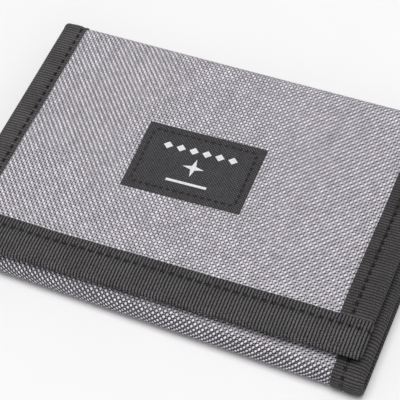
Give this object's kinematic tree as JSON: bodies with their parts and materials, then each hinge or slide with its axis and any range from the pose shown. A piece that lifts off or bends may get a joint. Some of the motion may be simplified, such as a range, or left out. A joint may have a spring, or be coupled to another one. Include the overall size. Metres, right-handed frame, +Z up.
{
  "type": "three-fold wallet",
  "caption": "Closed three-fold cloth wallet with bound edges, a flap with a sewn label, card pockets and a zipped coin pocket inside.",
  "frame": {"origin": "middle of the wallet's rectangular footprint, on the surface the closed wallet lies on", "axes": "+X along the folds to the right, +Y across the wallet to the fold that joins the flap, +Z up through the closed layers to the flap"},
  "size_m": [0.13, 0.09, 0.012],
  "materials": {
    "grey_cloth": "coarse plain-weave polyester cloth, matt with a slight sheen on the yarns",
    "black_tape": "ribbed grosgrain binding tape",
    "black_lining": "fine coated nylon lining",
    "black_label": "close-woven label cloth with a plain printed motif",
    "black_hook_and_loop": "hook and loop strip",
    "clear_vinyl": "clear flexible vinyl sheet",
    "black_coil": "moulded nylon zip coil",
    "dark_metal": "dark plated die-cast zip parts"
  },
  "bodies": {
    "back_panel": {"shell_back": "grey_cloth", "lining_back": "black_lining", "lining_hem_back": "black_tape", "binding_back_left": "black_tape", "binding_back_right": "black_tape", "card_pocket_lower": "black_lining", "card_pocket_upper": "black_lining", "card_pocket_hem_lower": "black_tape", "card_pocket_hem_upper": "black_tape", "card_tape_left": "black_tape", "card_tape_right": "black_tape", "card_tape_end": "black_tape"},
    "far_spine": {"shell_far_fold": "grey_cloth", "lining_far_fold": "black_lining", "lining_hem_far_fold": "black_tape", "binding_far_fold_left": "black_tape", "binding_far_fold_right": "black_tape"},
    "flap": {"shell_flap": "grey_cloth", "lining_flap": "black_lining", "lining_hem_flap": "black_tape", "binding_flap_left": "black_tape", "binding_flap_right": "black_tape", "binding_flap_edge": "black_tape", "label_patch": "black_label", "hook_strip": "black_hook_and_loop", "card_window": "clear_vinyl", "window_tape_left": "black_tape", "window_tape_right": "black_tape", "window_tape_mouth": "black_tape", "window_tape_end": "black_tape"},
    "near_spine": {"shell_near_fold": "grey_cloth", "lining_near_fold": "black_lining", "binding_near_fold_left": "black_tape", "binding_near_fold_right": "black_tape"},
    "inner_panel": {"shell_inner": "grey_cloth", "binding_inner_left": "black_tape", "binding_inner_right": "black_tape", "binding_inner_edge": "black_tape", "loop_strip": "black_hook_and_loop", "coin_pocket_front": "black_lining", "coin_pocket_top": "black_lining", "zip_tape_near": "black_lining", "zip_tape_far": "black_lining", "zip_coil_near": "black_coil", "zip_coil_far": "black_coil", "zip_stop_left": "dark_metal", "zip_stop_right": "dark_metal"},
    "zip_slider": {"zip_slider": "dark_metal"},
    "zip_pull": {"zip_pull": "dark_metal"}
  },
  "joints": [
    {"name": "far_spine_hinge", "type": "hinge", "parent": "back_panel", "child": "far_spine", "pos_m": [0, 0.04414, 0.00086], "axis": [-1, 0, 0], "range_deg": [0, 90]},
    {"name": "flap_hinge", "type": "hinge", "parent": "far_spine", "child": "flap", "pos_m": [0, 0.04414, 0.01114], "axis": [-1, 0, 0], "range_deg": [0, 90]},
    {"name": "near_spine_hinge", "type": "hinge", "parent": "back_panel", "child": "near_spine", "pos_m": [0, -0.04425, 0.00075], "axis": [1, 0, 0], "range_deg": [0, 90]},
    {"name": "inner_hinge", "type": "hinge", "parent": "near_spine", "child": "inner_panel", "pos_m": [0, -0.04425, 0.00735], "axis": [1, 0, 0], "range_deg": [0, 90]},
    {"name": "zip_slide", "type": "slide", "parent": "inner_panel", "child": "zip_slider", "axis": [-1, 0, 0], "range_m": [0, 0.086]},
    {"name": "zip_pull_hinge", "type": "hinge", "parent": "zip_slider", "child": "zip_pull", "pos_m": [0.043, -0.022, 0.0043], "axis": [0, -1, 0], "range_deg": [0, 8]}
  ],
  "couplings": [
    {"joint": "flap_hinge", "follows": "far_spine_hinge", "ratio": 1},
    {"joint": "near_spine_hinge", "follows": "far_spine_hinge", "ratio": 1},
    {"joint": "inner_hinge", "follows": "far_spine_hinge", "ratio": 1}
  ]
}
